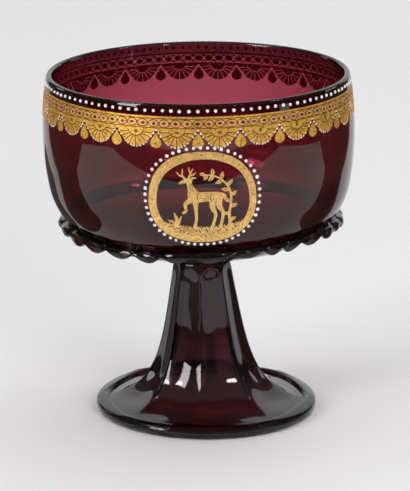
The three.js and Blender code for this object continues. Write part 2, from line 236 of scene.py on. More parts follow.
# Opaque glass enamel in raised dots.
def makeEnamel(name, colour, shade, roughness):
    material, shader = newMaterial(name)
    cloud = shader.noise(420.0, 3.0)
    sockets = {
        "Base Color": shader.mix(cloud, colour, shade),
        "Roughness": roughness + cloud * 0.15,
        "Normal": shader.bump(shader.noise(900.0, 2.0), 0.3, 0.1 * mm),
    }
    finishMaterial(shader, shader.add("BsdfPrincipled", {}, sockets))
    return material


# Dull paint or cloth, cloudy with a second colour.
def makeMatt(name, first, second, scale):
    material, shader = newMaterial(name)
    sockets = {"Base Color": shader.mix(shader.noise(scale, 2.0), first, second), "Roughness": 0.9}
    finishMaterial(shader, shader.add("BsdfPrincipled", {}, sockets))
    return material


# A board that shines evenly.
def makeGlow(name, colour, radiance):
    material, shader = newMaterial(name)
    finishMaterial(shader, shader.add("Emission", {}, {"Color": colour, "Strength": radiance}))
    return material


purpleGlass = makeGlass("purpleGlass", glassLook["bowlLetThrough"], glassLook["bowlTintAndShade"])
darkGlass = makeGlass("darkGlass", glassLook["footLetThrough"], glassLook["footTint"])
brownGlass = makeGlass("brownGlass", glassLook["trailLetThrough"], glassLook["trailTint"], 0.08)
bandGold = makeGold("bandGold", goldLook["bright"], 0.7, 0.75)
cellGold = makeGold("cellGold", goldLook["cell"], 0.5, 0.4)
roundelGold = makeGold("roundelGold", goldLook["ring"], 0.6, 0.6)
whiteEnamel = makeEnamel("whiteEnamel", (0.96, 0.93, 0.92), (0.84, 0.78, 0.77), 0.25)
greenEnamel = makeEnamel("greenEnamel", (0.14, 0.13, 0.012), (0.07, 0.055, 0.006), 0.4)
blackEnamel = makeEnamel("blackEnamel", (0.05, 0.016, 0.006), (0.02, 0.008, 0.004), 0.4)
brownEnamel = makeEnamel("brownEnamel", (0.19, 0.045, 0.016), (0.08, 0.018, 0.008), 0.4)
paleFloor = makeMatt("paleFloor", (0.86, 0.85, 0.855), (0.84, 0.83, 0.835), 3.0)
darkRoom = makeMatt("darkRoom", (0.10, 0.09, 0.09), (0.07, 0.06, 0.06), 4.0)
darkStand = makeMatt("darkStand", (0.26, 0.15, 0.13), (0.10, 0.05, 0.05), 14.0)
print("materials made")


# Mesh helpers

weldGap = 0.0005  # places closer than this become one
sharpAngle = math.radians(38)  # a fold steeper than this stays sharp


def addPiece(name, points, faces, material, replaced=(), weld=False):
    mesh = bpy.data.meshes.new(name)
    mesh.from_pydata((np.asarray(points, float) * mm).tolist(), [], faces)
    if weld:
        work = bmesh.new()
        work.from_mesh(mesh)
        bmesh.ops.remove_doubles(work, verts=work.verts, dist=weldGap * mm)
        bmesh.ops.dissolve_degenerate(work, edges=work.edges, dist=weldGap * mm)
        work.to_mesh(mesh)
        work.free()
    mesh.materials.append(material)
    mesh.polygons.foreach_set("use_smooth", [True] * len(mesh.polygons))
    mesh.set_sharp_from_angle(angle=sharpAngle)
    piece = bpy.data.objects.new(name, mesh)
    bpy.context.scene.collection.objects.link(piece)
    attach(piece, "root")
    if replaced:
        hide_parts(*replaced)
    return piece


def arc(middle, radius, start, end, steps):
    angles = np.linspace(start, end, steps + 1)
    return np.column_stack([middle[0] + radius * np.cos(angles), middle[1] + radius * np.sin(angles)])


def bezier(points, steps):
    share = np.linspace(0, 1, steps + 1)[:, None]
    rows = [np.array([point], float) for point in points]
    while len(rows) > 1:
        rows = [a * (1 - share) + b * share for a, b in zip(rows, rows[1:])]
    return rows[0]


# A smooth line through the given rows of numbers.
def spline(rows, steps):
    rows = np.array(rows, float)
    ends = np.vstack([2 * rows[0] - rows[1], rows, 2 * rows[-1] - rows[-2]])
    out = []
    for a, b, c, d in zip(ends, ends[1:], ends[2:], ends[3:]):
        for t in np.arange(steps) / steps:
            bend = 2 * a - 5 * b + 4 * c - d
            twist = 3 * b - a - 3 * c + d
            out.append(0.5 * (2 * b + (c - a) * t + bend * t**2 + twist * t**3))
    out.append(rows[-1])
    return np.array(out)


# Faces of a net of rows and columns, closed round the rows, and round the columns if asked.
def netFaces(rows, columns, closeColumns=True, start=0):
    faces = []
    for i in range(rows):
        here, after = start + i * columns, start + (i + 1) % rows * columns
        for j in range(columns if closeColumns else columns - 1):
            k = (j + 1) % columns
            faces.append((here + j, after + j, after + k, here + k))
    return faces


# Faces that join two rows of points of the same length, closed round or open.
def joinRows(first, second, count, closed=True):
    faces = []
    for i in range(count if closed else count - 1):
        j = (i + 1) % count
        faces.append((first + i, first + j, second + j, second + i))
    return faces


# The angles of a full turn, evenly spaced.
def roundTurn(steps):
    return np.linspace(0, 2 * math.pi, steps, endpoint=False)


# A value between two, by its share of the way.
def between(pair, share):
    return pair[0] + (pair[1] - pair[0]) * share


def smoothStep(value, low, high):
    share = np.clip((value - low) / (high - low), 0, 1)
    return share * share * (3 - 2 * share)


# Bowl: wall, turn and base are three arcs, each tangent to the next

bowl = {
    "base": 87.0,  # height of the middle of its base
    "depth": 89.8,
    "radius": 79.0,
    "waist": 148.2,  # height where it is widest
    "bulge": 157.0,  # radii of the arcs of its wall, its turn and its base
    "turn": 37.0,
    "crown": 375.0,
    "wall": 3.0,
    "extra": 0.8,  # how much thicker the blown base is, and up to what height
    "thickTo": 138.0,
    "lean": math.radians(0.6),
    "uneven": 0.16,  # how far the wall strays from round
    "steps": (13, 25, 33, 256),  # along base, turn and wall, and round the bowl
}
rimHeight = bowl["base"] + bowl["depth"]
wallMiddle = np.array([bowl["radius"] - bowl["bulge"], bowl["waist"]])
baseMiddle = np.array([0.0, bowl["base"] + bowl["crown"]])


# The middle of the turn, which touches the wall's arc and the base's.
def findTurnMiddle():
    apart = np.linalg.norm(baseMiddle - wallMiddle)
    first, second = bowl["bulge"] - bowl["turn"], bowl["crown"] - bowl["turn"]
    along = (first**2 - second**2 + apart**2) / (2 * apart)
    direction = (baseMiddle - wallMiddle) / apart
    across = math.sqrt(first**2 - along**2)
    return wallMiddle + direction * along + np.array([direction[1], -direction[0]]) * across


def angleFrom(middle, point):
    return math.atan2(*(point - middle)[::-1])


turnMiddle = findTurnMiddle()
turnStart = angleFrom(baseMiddle, turnMiddle)
turnEnd = angleFrom(wallMiddle, turnMiddle)
baseLength = bowl["crown"] * (turnStart + math.pi / 2)
turnLength = bowl["turn"] * (turnEnd - turnStart)
lipRadius = bowl["wall"] / 2
lipAngle = math.asin((rimHeight - lipRadius - bowl["waist"]) / (bowl["bulge"] - lipRadius))
outsideLength = baseLength + turnLength + bowl["bulge"] * (lipAngle - turnEnd)


# Radius, height and slope of the outside, at a distance along it from the middle of the base.
def outsideAt(distance):
    distance = np.asarray(distance, float)
    onBase, onTurn = distance < baseLength, distance < baseLength + turnLength
    angle = np.where(
        onBase,
        distance / bowl["crown"] - math.pi / 2,
        np.where(
            onTurn,
            turnStart + (distance - baseLength) / bowl["turn"],
            turnEnd + (distance - baseLength - turnLength) / bowl["bulge"],
        ),
    )
    reach = np.where(onBase, bowl["crown"], np.where(onTurn, bowl["turn"], bowl["bulge"]))
    x = np.where(onBase, baseMiddle[0], np.where(onTurn, turnMiddle[0], wallMiddle[0]))
    y = np.where(onBase, baseMiddle[1], np.where(onTurn, turnMiddle[1], wallMiddle[1]))
    return x + reach * np.cos(angle), y + reach * np.sin(angle), angle


def distanceOnWall(height):
    angle = math.asin((height - bowl["waist"]) / bowl["bulge"])
    return baseLength + turnLength + bowl["bulge"] * (angle - turnEnd)


def distanceOnTurn(height):
    angle = np.arcsin((np.asarray(height, float) - turnMiddle[1]) / bowl["turn"])
    return baseLength + bowl["turn"] * (angle - turnStart)


# The bowl tips a little to -X, about its waist.
def leanWithBowl(points):
    x, z = points[..., 0], points[..., 2] - bowl["waist"]
    cos, sin = math.cos(bowl["lean"]), math.sin(bowl["lean"])
    return np.stack([x * cos - z * sin, points[..., 1], bowl["waist"] + x * sin + z * cos], -1)


# A place round and up the bowl, lift away from the glass. Turn 0 faces -Y, and grows to the right.
def onBowl(turn, distance, lift):
    radius, height, slope = outsideAt(distance)
    swell = np.sin(2 * turn + 0.8) + 0.6 * np.sin(3 * turn - height / 31)
    swell = swell + 0.5 * np.sin(5 * turn + height / 17)
    out = radius + lift * np.cos(slope) + bowl["uneven"] * swell * radius / bowl["radius"]
    up = height + lift * np.sin(slope)
    return leanWithBowl(np.stack(np.broadcast_arrays(out * np.sin(turn), -out * np.cos(turn), up), -1))


def makeBowl():
    onBase, onTurn, onWall, steps = bowl["steps"]
    outer = np.concatenate(
        [
            np.linspace(0, baseLength, onBase + 1)[:-1],
            np.linspace(baseLength, baseLength + turnLength, onTurn + 1)[:-1],
            np.linspace(baseLength + turnLength, outsideLength, onWall + 1),
        ]
    )
    lip = np.linspace(0, math.pi, 13)[1:-1]
    thin = smoothStep(outer[::-1], baseLength, distanceOnWall(bowl["thickTo"]))
    thickness = bowl["wall"] + bowl["extra"] * (1 - thin)
    distance = np.concatenate([outer, outsideLength + lipRadius * np.sin(lip), outer[::-1]])
    lift = np.concatenate([0 * outer, lipRadius * (np.cos(lip) - 1), -thickness])
    points = onBowl(roundTurn(steps)[:, None], distance[None, :], lift[None, :])
    faces = netFaces(steps, len(distance), closeColumns=False)
    addPiece("bowlGlass", points.reshape(-1, 3), faces, purpleGlass, ["bowl"], weld=True)


makeBowl()
print("bowl made")


# Crimped trail: a thick thread of glass, nipped with pincers into drooping lobes

trail = {
    "root": 101.5,  # height of the middle of its root
    "sunk": 0.25,  # how deep its root is fused into the wall
    "reach": (5.0, 6.1),  # at a nip and at a lobe
    "droop": (math.radians(18), math.radians(51)),  # at a nip and at a lobe
    "hang": math.radians(10),  # how much more the lobes at the front droop
    "bend": (0.4, 1.0),  # share of the droop at the root and at the edge
    "lean": (0.4, 1.5),  # and how far the trail's faces lean with it
    "share": (1.12, 0.92),  # size of the lobes at the back and at the front
    "smallest": -6,  # where they are smallest, in degrees
    "sizes": (0.86, 1.12),  # least and greatest by hand
    "nipped": 0.55,  # how much thinner a nip is, and how much thicker a lobe
    "swollen": 0.45,
    "skew": 0.6,  # how far a lobe's edge runs on along the trail
    "sag": (1.9, math.radians(-31), 6),  # how far it sags at the front left, where, and how locally
    "climb": (1.2, math.radians(65), 4),  # and climbs at the right
    "roundness": 0.62,  # less makes wider lobes and narrower nips
    # Where the lobes in view are, in degrees, and how many there are behind.
    "lobes": [-72, -58.8, -47.4, -33.5, -20.3, -8.5, 5.8, 22, 31.4, 38.7, 51.7, 63.6, 74.1, 83],
    "lobesBehind": 14,
    "stray": 1.4,  # how far those stray from even spacing, in degrees
    "stepsPerLobe": 30,
    "section": [  # share of the reach, and half the thickness there
        (0, 3.0),
        (0.1, 2.35),
        (0.24, 2.05),
        (0.4, 2.1),
        (0.56, 2.0),
        (0.72, 1.7),
        (0.86, 1.2),
        (0.96, 0.62),
    ],
}


# Values round the trail, each the mean of its neighbours within reach.
def smoothRound(values, reach):
    window = np.hanning(2 * reach + 1)
    window = window / window.sum()
    return np.convolve(np.r_[values[-reach:], values, values[:reach]], window, "valid")


# How much higher the trail runs at a turn than its mean height.
def trailDrift(turn):
    drift = 0
    for sign, (height, middle, power) in ((-1, trail["sag"]), (1, trail["climb"])):
        drift += sign * height * max(0, math.cos(turn - middle)) ** power
    return drift


# Turn, place within its lobe and size of each step round the trail.
def trailSteps():
    first, last = trail["lobes"][-1], trail["lobes"][0] + 360
    behind = np.linspace(first, last, trail["lobesBehind"] + 2)[1:-1]
    behind = behind + chance.uniform(-trail["stray"], trail["stray"], len(behind))
    lobes = np.array([*trail["lobes"], *behind, last])
    count = len(lobes) - 1
    phase = np.linspace(0, 2 * math.pi * count, count * trail["stepsPerLobe"], endpoint=False)
    whole = 2 * math.pi * np.arange(count + 1)
    turns = np.radians(np.interp(phase, whole, lobes))
    spacing = smoothRound(np.diff(turns, append=turns[0] + 2 * math.pi), 8)
    turns = turns[0] + np.r_[0, np.cumsum(spacing)[:-1]]
    front = (1 + np.cos(np.radians(lobes[:-1] - trail["smallest"]))) / 2
    size = chance.uniform(*trail["sizes"], count) * between(trail["share"], front)
    size = smoothRound(np.interp(phase, whole, np.r_[size, size[0]]), 12)
    return turns, phase, size


def makeTrail():
    along, half = np.array(trail["section"]).T
    along = np.r_[along, 1.0, along[::-1]]
    half = np.r_[half, 0, -half[::-1]]
    atRoot = along < 0.05
    rows = []
    for turn, phase, size in zip(*trailSteps()):
        lobe = ((1 + np.cos(phase + trail["skew"] * along)) / 2) ** trail["roundness"]
        least, most = trail["droop"]
        most += trail["hang"] * max(0, math.cos(turn))
        droop = between((least, most), lobe) * between((0.8, 1.0), size)
        reach = between(trail["reach"], lobe) * size * along
        swell = trail["swollen"] * lobe - trail["nipped"] * (1 - lobe)
        thick = np.where(atRoot, 0, half * (1 + swell * smoothStep(along, 0.1, 0.5)))
        bend, lean = droop * between(trail["bend"], along), droop * between(trail["lean"], along)
        root = trail["root"] + trailDrift(turn)
        radius, height, _ = outsideAt(distanceOnTurn(root + half * atRoot))
        x = radius - trail["sunk"] + reach * np.cos(bend) + thick * np.sin(lean)
        z = height - reach * np.sin(bend) + thick * np.cos(lean)
        rows.append(np.stack([x * math.sin(turn), -x * math.cos(turn), z], -1))
    points = leanWithBowl(np.array(rows))
    faces = [face[::-1] for face in netFaces(len(rows), len(along))]
    addPiece("trailGlass", points.reshape(-1, 3), faces, brownGlass, ["crimped_trail"])


makeTrail()
print("trail made")


# Foot: hollow, ribbed, flared and folded, with the join on top

foot = {
    "height": 82.0,
    "radius": 56.8,
    "fold": 3.3,  # radius of the edge that is folded under
    "wear": 0.2,  # how deep that edge is worn flat
    "crease": math.radians(150),  # where the fold runs into the disc
    "wall": 2.6,
    "neck": 15.4,  # radius where the column is narrowest
    "neckHeight": 72.0,
    "top": 8.5,  # radius of its flat top
    "flareReach": 25.8,  # how flat the disc starts, and how steep the column ends
    "flareRise": 42.0,
    "splay": 7.0,
    "ribs": 8,
    "ribDepth": 0.105,  # share of the radius by which the panels are drawn in
    "ribTurn": math.radians(-3.3),
    "ribRound": 0.05,
    "stepsPerRib": 28,
    "shift": (3.9, 1.5),  # how far it stands to +X, at its edge and at its top
}


# The foot's section, from the middle of its top down the outside and up the inside,
# and the height of the crease between fold and disc.
def footProfile():
    fold = np.array([foot["radius"] - foot["fold"], foot["fold"] - foot["wear"]])
    worn = math.asin(fold[1] / foot["fold"])
    crease = fold + foot["fold"] * np.array([math.cos(foot["crease"]), math.sin(foot["crease"])])
    neck = np.array([foot["neck"], foot["neckHeight"]])
    flare = bezier(
        [
            crease,
            crease + [-foot["flareReach"], foot["flareReach"] / 4],
            [foot["neck"] + foot["splay"], foot["neckHeight"] - foot["flareRise"]],
            neck,
        ],
        40,
    )
    shoulder = bezier([neck, [foot["neck"] - 1, foot["height"]], [foot["top"], foot["height"]]], 12)
    outside = np.vstack([flare, shoulder[1:]])
    slope = np.gradient(outside, axis=0)
    slope /= np.linalg.norm(slope, axis=1)[:, None]
    inside = outside + foot["wall"] * np.column_stack([-slope[:, 1], slope[:, 0]])
    inside[-1] = [foot["top"] - foot["wall"] / 2, foot["height"] - foot["wall"]]
    foldOutside = arc(fold, foot["fold"], foot["crease"], -worn, 18)[1:]
    foldInside = arc(fold, foot["fold"], worn - math.pi, -math.pi * 1.1, 8)
    top, under = [[0, foot["height"]]], [[0, inside[-1, 1]]]
    profile = np.vstack([top, outside[::-1], foldOutside, foldInside, inside[2:], under])
    return profile, crease[1]


# Ribs stand between panels that are drawn in, from the fold to the neck.
def makeFoot():
    profile, discHeight = footProfile()
    steps = foot["ribs"] * foot["stepsPerRib"]
    turn = roundTurn(steps)[:, None]
    radius, height = profile[None, :, 0], profile[None, :, 1]
    offFold = smoothStep(height, discHeight, discHeight + foot["fold"])
    offTop = 1 - smoothStep(height, foot["neckHeight"], foot["height"])
    offRib = np.hypot(np.sin(foot["ribs"] / 2 * (turn - foot["ribTurn"])), foot["ribRound"])
    draw = 1 - foot["ribDepth"] * offFold * offTop * (offRib - foot["ribRound"])
    x = radius * draw * np.sin(turn) + between(foot["shift"], height / foot["height"])
    y = -radius * draw * np.cos(turn)
    points = np.stack(np.broadcast_arrays(x, y, height), -1)
    faces = netFaces(steps, len(profile), closeColumns=False)
    faces = [face[::-1] for face in faces]
    addPiece("footGlass", points.reshape(-1, 3), faces, darkGlass, ["foot"], weld=True)


join = {
    "radius": 11.5,
    "height": 5.3,
    "round": 1.8,
    "flare": 1.4,
    "waist": (0.9, 1.0),  # how far in and how far below its top it is narrowest
}


# The join is round low down, narrows above, and flares where it is fused to the bowl.
def makeJoin():
    low = arc([join["radius"] - join["round"], join["round"]], join["round"], -math.pi / 2, 0.6, 10)
    waist = [join["radius"] - join["waist"][0], join["height"] - join["waist"][1]]
    edge = [join["radius"] + join["flare"], join["height"]]
    profile = np.vstack([[[0, 0]], low, [waist, edge, [0, join["height"]]]])
    steps = 96
    turn = roundTurn(steps)[:, None]
    radius, height = profile[None, :, 0], profile[None, :, 1]
    x = radius * np.sin(turn) + foot["shift"][1]
    y = -radius * np.cos(turn)
    points = np.stack(np.broadcast_arrays(x, y, height + foot["height"]), -1)
    faces = netFaces(steps, len(profile), closeColumns=False)
    addPiece("joinGlass", points.reshape(-1, 3), faces, darkGlass, ["join"], weld=True)


makeFoot()
makeJoin()
print("foot and join made")


# Gilding: thin leaves of gold that follow the wall, each drawn flat as across and up

leaf = {"thick": 0.1, "sunk": 0.03, "line": 0.34}  # a line is scratched through to the glass


# The corners of a leaf's section between two lines, each as a line and its lift.
def leafSection(first, second):
    top, under = leaf["thick"], -leaf["sunk"]
    return (first, top), (second, top), (second, under), (first, under)


class Leaves:
    def __init__(self):
        self.points = []
        self.faces = []

    # A flat outline, drawn anticlockwise, that becomes one thin leaf.
    def outline(self, turn, distance):
        count = len(turn)
        start = len(self.points)
        self.points += onBowl(turn, distance, leaf["thick"]).tolist()
        self.points += onBowl(turn, distance, -leaf["sunk"]).tolist()
        self.faces.append(tuple(range(start, start + count)))
        self.faces.append(tuple(range(start + 2 * count - 1, start + count - 1, -1)))
        for i in range(count):
            j = (i + 1) % count
            self.faces.append((start + i, start + count + i, start + count + j, start + j))

    # A strip between two lines, made of one leaf that is closed all round.
    def strip(self, turn, low, high, closed=False):
        start = len(self.points)
        for distance, lift in leafSection(low, high):
            self.points += onBowl(turn, distance, np.full(len(turn), lift)).tolist()
        count = len(turn)
        for side in range(4):
            here, after = start + side * count, start + (side + 1) % 4 * count
            self.faces += joinRows(here, after, count, closed)
        if not closed:
            for i in (0, count - 1):
                end = [start + side * count + i for side in range(4)]
                self.faces.append(tuple(end if i else end[::-1]))

    def finish(self, name, material, slot, replaced=()):
        return addPiece(name, self.points, self.faces, material, replaced)


# Rows of domes on the wall: turn, distance, radius and height of each.
def addDomes(name, places, material, replaced=(), sides=12, rings=4):
    points, faces = [], []
    around = roundTurn(sides)
    slopes = np.linspace(0.12, math.pi / 2 * 0.86, rings)
    levels = [(1.0, -0.06)] + [(math.cos(slope), math.sin(slope)) for slope in slopes]
    for turn, distance, radius, height in places:
        seat = onBowl(turn, distance, 0.0)
        up = onBowl(turn, distance, 1.0) - seat
        right = onBowl(turn + 0.001, distance, 0.0) - seat
        right = right - up * (right @ up)
        right /= np.linalg.norm(right)
        ahead = np.cross(up, right)
        start = len(points)
        stretch = chance.uniform(0.94, 1.06)
        for share, rise in levels:
            ring = (
                seat
                + radius * share * stretch * np.outer(np.cos(around), right)
                + radius * share / stretch * np.outer(np.sin(around), ahead)
                + up * height * rise
            )
            points += ring.tolist()
        points.append((seat + up * height).tolist())
        for level in range(rings):
            here = start + level * sides
            faces += joinRows(here, here + sides, sides)
        last = start + rings * sides
        faces += [(last + i, last + (i + 1) % sides, len(points) - 1) for i in range(sides)]
        faces.append(tuple(range(start + sides - 1, start - 1, -1)))
    return addPiece(name, points, faces, material, replaced)


# Gilt band: plain stripes, a row of ringed cells, and a row of fans with drops between

band = {
    "top": 171.0,
    "upperLine": 169.9,  # fine lines above and below the cells
    "lowerLine": 165.45,
    "cells": 90,
    "cellMiddle": 167.65,
    "cellSize": (2.3, 1.6),  # half its width and height
    "cellEdge": (0.25, 0.4),  # how much glass is left clear at its sides, and above and below it
    "scratch": 0.14,  # half the width of the line scratched between two cells
    "scratchHigh": (0.6, 1.1),  # half its height, least and greatest
    "thread": 0.12,  # half the height of the line that runs from cell to cell
    "blot": (1.2, 0.78),
    "fans": 24,
    "hub": 163.35,  # the middle of a fan's green dot
    "hubDot": 0.95,
    "halfDisc": 4.4,
    "fanRadius": 7.4,
    "apex": 1.1,  # where two fans meet, above the hub
    "petalLines": (0, 27, 50, 70, 88),  # degrees between a fan's petals, to either side
    "petalRound": 0.4,  # how far the outer corners of a petal are rounded off
    "apexBeads": (0, 2.0, 4.0),  # places of the larger beads, from where two fans meet
    "apexBead": 0.5,
    "edgeBead": 0.42,
    "edgePitch": 1.65,
    "drop": [  # half its width, and how far below the line above the fans
        (0, -2.3),
        (0.65, -3.3),
        (1.65, -4.7),
        (2.5, -6.2),
        (2.8, -7.4),
        (2.3, -8.6),
        (1.2, -9.4),
        (0, -9.75),
    ],
    "rimBeads": 112,
    "rimBeadHeight": 173.55,
    "rimBead": 0.83,
}
cellPitch = 2 * math.pi / band["cells"]
cellDistance = distanceOnWall(band["cellMiddle"])
cellRadius = float(outsideAt(cellDistance)[0])
fanPitch = 2 * math.pi / band["fans"]
hubDistance = distanceOnWall(band["hub"])
hubRadius = float(outsideAt(hubDistance)[0])
hubDrop = distanceOnWall(band["lowerLine"]) - hubDistance  # how far the hub is below the line above the fans
fanHalf = hubRadius * fanPitch / 2


# Half the height of a cell's rounded outline at a place across it.
def cellRise(across, width, height):
    return height * np.clip(1 - np.abs(across / width) ** 2.6, 0, 1) ** (1 / 1.8)


# A closed outline bounded by two rings of turns and distances, as one leaf with a hole.
def addRing(rings, outer, inner):
    start, count = len(rings.points), len(outer[0])
    for (turn, distance), lift in leafSection(outer, inner):
        rings.points += onBowl(turn, distance, lift).tolist()
    for side in range(4):
        here, after = start + side * count, start + (side + 1) % 4 * count
        rings.faces += joinRows(here, after, count)


# A flat blot of enamel with an uneven edge.
def addBlot(blots, turn, distance, width, height, lift=0.16):
    sides = 16
    angles = roundTurn(sides)
    a, b = chance.uniform(0, 2 * math.pi, 2)
    edge = 1 + 0.12 * np.sin(2 * angles + a) + 0.08 * np.sin(3 * angles + b)
    radius = float(outsideAt(distance)[0])
    start = len(blots.points)
    for share, rise in ((1, -0.05), (0.95, lift * 0.6), (0.6, lift)):
        x, y = width * share * edge * np.cos(angles), height * share * edge * np.sin(angles)
        blots.points += onBowl(turn + x / radius, distance + y, rise).tolist()
    top = start + 2 * sides
    for here in (start, start + sides):
        blots.faces += joinRows(here, here + sides, sides)
    blots.faces.append(tuple(range(top, top + sides)))
    blots.faces.append(tuple(range(start + sides - 1, start - 1, -1)))


# A cell's gold ring, round a blot of enamel.
def addCell(rings, blots, turn, distance, width, height):
    angles = roundTurn(28)
    outX = (width - 0.08) * np.sign(np.cos(angles)) * np.abs(np.cos(angles)) ** 0.8
    outY = height * np.sign(np.sin(angles)) * np.abs(np.sin(angles)) ** 1.05
    blotX, blotY = chance.uniform(-0.3, 0.3), chance.uniform(-0.15, 0.15)
    blotWide = band["blot"][0] * chance.uniform(0.75, 1.1)
    blotHigh = band["blot"][1] * chance.uniform(0.85, 1.15)
    inX = blotX + blotWide * 0.9 * np.cos(angles)
    inY = blotY + blotHigh * 0.9 * np.sin(angles)
    outer = (turn + outX / cellRadius, distance + outY)
    inner = (turn + inX / cellRadius, distance + inY)
    addRing(rings, outer, inner)
    addBlot(blots, turn + blotX / cellRadius, distance + blotY, blotWide, blotHigh)


# The row of cells, and the gold stripes that are scratched clear round them.
def addCells(gold, rings, blots):
    half = cellRadius * cellPitch / 2
    inside = half - band["scratch"]
    left, right = [-half, -inside, 0.01 - inside], [inside - 0.01, inside]
    across = np.concatenate([left, np.linspace(0.25 - half, half - 0.25, 15), right])
    clearWide, clearHigh = band["cellEdge"]
    turns, above, below = [], [], []
    for i in range(band["cells"]):
        turn = i * cellPitch
        width = band["cellSize"][0] * chance.uniform(0.92, 1.02)
        height = band["cellSize"][1] * chance.uniform(0.9, 1.04)
        shift, rise = chance.uniform(-0.1, 0.1), chance.uniform(-0.12, 0.12)
        level = cellDistance + rise
        edge = cellRise(across - shift, width + clearWide, height + clearHigh)
        scratched = np.abs(across) > inside - 0.005
        stroke = np.where(scratched, chance.uniform(*band["scratchHigh"]), band["thread"])
        turns.append(turn + across / cellRadius)
        above.append(level + np.maximum(edge, stroke))
        below.append(level - np.maximum(edge, stroke))
        addCell(rings, blots[i % 2], turn + shift / cellRadius, level, width, height)
    turns, above, below = map(np.concatenate, (turns, above, below))
    flat = np.ones(len(turns))
    line = leaf["line"] / 2
    upper, lower = distanceOnWall(band["upperLine"]), distanceOnWall(band["lowerLine"])
    gold.strip(turns, flat * (upper + line), flat * distanceOnWall(band["top"]), closed=True)
    gold.strip(turns, np.minimum(above, upper - line - 0.1), flat * (upper - line), closed=True)
    gold.strip(turns, flat * (lower + line), np.maximum(below, lower + line + 0.1), closed=True)


# Where two fans meet: its angle from straight down, and its distance from the hub.
apexAngle = math.pi / 2 + math.atan2(band["apex"], fanHalf)
apexReach = math.hypot(band["apex"], fanHalf)


# The angle where a fan's round edge ends and its straight one starts.
def fanTouch(radius):
    return apexAngle - math.acos(radius / apexReach)


# How far a fan reaches from its hub, at an angle from straight down.
def fanReach(angle, radius):
    angle, touch = np.abs(angle), fanTouch(radius)
    return np.where(angle <= touch, radius, radius / np.cos(np.minimum(angle, apexAngle) - touch))


# The half disc round the hub hangs from the line above the fans.
def discReach(angle, radius):
    return -hubDrop * np.cos(angle) + np.sqrt(radius**2 - (hubDrop * np.sin(angle)) ** 2)


# A leaf drawn as across and up from a fan's hub, and mirrored where side is -1.
def addFanLeaf(gold, turn, x, y, side=1):
    x, y = np.asarray(x)[::side] * side, np.asarray(y)[::side]
    gold.outline(turn + x / hubRadius, hubDistance + y)


def addHalfDisc(gold, turn, disc):
    line = leaf["line"] / 2
    half = np.linspace(-math.pi / 2, math.pi / 2, 15)
    x = (disc - line) * np.sin(half)
    y = hubDrop - line - (disc - 2 * line) * np.cos(half)
    addFanLeaf(gold, turn, x, y)


# The petals on one side of a fan's middle, then the gold up to the next fan.
def addPetals(gold, turn, radius, disc, side):
    steps, line, touch = 7, leaf["line"] / 2, fanTouch(radius)
    lines = np.radians(band["petalLines"])
    edges = [lines[0], *(lines[1:] + chance.uniform(-0.035, 0.035, len(lines) - 1))]
    for start, end in zip(edges, edges[1:]):
        angles = np.linspace(start, end, steps)
        rounding = band["petalRound"] * np.linspace(-1, 1, steps) ** 4 * (end < touch + 0.1)
        outer = np.minimum(fanReach(angles, radius) - rounding, apexReach - 0.1)
        inner = discReach(angles, disc + line)
        reach = np.concatenate([inner, outer[::-1]])
        aside = np.concatenate([angles, angles[::-1]])
        x, y = reach * np.sin(aside), -reach * np.cos(aside)
        for corner, away in ((0, start), (-1, start), (steps - 1, end), (steps, end)):
            sign = 1 if away == start else -1
            x[corner] += sign * math.cos(away) * line
            y[corner] += sign * math.sin(away) * line
        addFanLeaf(gold, turn, x, y, side)
    last = edges[-1]
    low = discReach(last, disc + line)
    far = fanReach(np.array(last), radius) - 0.1
    sin, cos = math.sin(last), math.cos(last)
    x = [low * sin, far * sin, fanHalf - 0.08, fanHalf - 0.08, disc + line]
    y = [line - low * cos, line - far * cos, band["apex"], hubDrop - line, hubDrop - line]
    addFanLeaf(gold, turn, x, y, side)


# The larger beads on one side, down from where two fans meet.
def apexBeads(turn, radius, side):
    beads, touch = [], fanTouch(radius)
    length = apexReach * math.sin(apexAngle - touch)
    for place in band["apexBeads"][0 if side == 1 else 1:]:
        angle = touch + math.atan2(length - place, radius)
        size = band["apexBead"] * chance.uniform(0.85, 1.1)
        reach = radius / math.cos(angle - touch)
        x, y = side * reach * math.sin(angle), -reach * math.cos(angle)
        beads.append((turn + x / hubRadius, hubDistance + y, size, size * 0.8))
    return beads


# The small beads along a fan's round edge.
def edgeBeads(turn, radius):
    beads, touch = [], fanTouch(radius)
    count = round(2 * radius * touch / band["edgePitch"])
    for j in range(count):
        angle = touch * (2 * (j + 0.5 + chance.uniform(-0.12, 0.12)) / count - 1)
        size = band["edgeBead"] * chance.uniform(0.8, 1.15)
        x, y = (radius - 0.1) * math.sin(angle), -(radius - 0.1) * math.cos(angle)
        beads.append((turn + x / hubRadius, hubDistance + y, size, size * 0.7))
    return beads


def addDrop(gold, turn):
    shape = spline(band["drop"], 3)
    x = np.concatenate([-shape[:, 0], shape[-2:0:-1, 0]]) * chance.uniform(0.95, 1.04)
    y = np.concatenate([shape[:, 1], shape[-2:0:-1, 1]]) + hubDrop + chance.uniform(-0.15, 0.15)
    gold.outline(turn + x / hubRadius, hubDistance + y)


def addFans(gold, hubs):
    beads = []
    for i in range(band["fans"]):
        turn = (i + 0.5) * fanPitch
        radius = band["fanRadius"] * chance.uniform(0.97, 1.03)
        disc = band["halfDisc"] * chance.uniform(0.95, 1.05)
        addHalfDisc(gold, turn, disc)
        for side in (1, -1):
            addPetals(gold, turn, radius, disc, side)
            beads += apexBeads(turn, radius, side)
        beads += edgeBeads(turn, radius)
        wide, high = chance.uniform(0.85, 1.1, 2) * band["hubDot"]
        addBlot(hubs, turn, hubDistance, wide, high * 0.85, 0.24)
        addDrop(gold, turn + fanPitch / 2)
    addDomes("scallopBeads", beads, whiteEnamel, sides=8, rings=2)


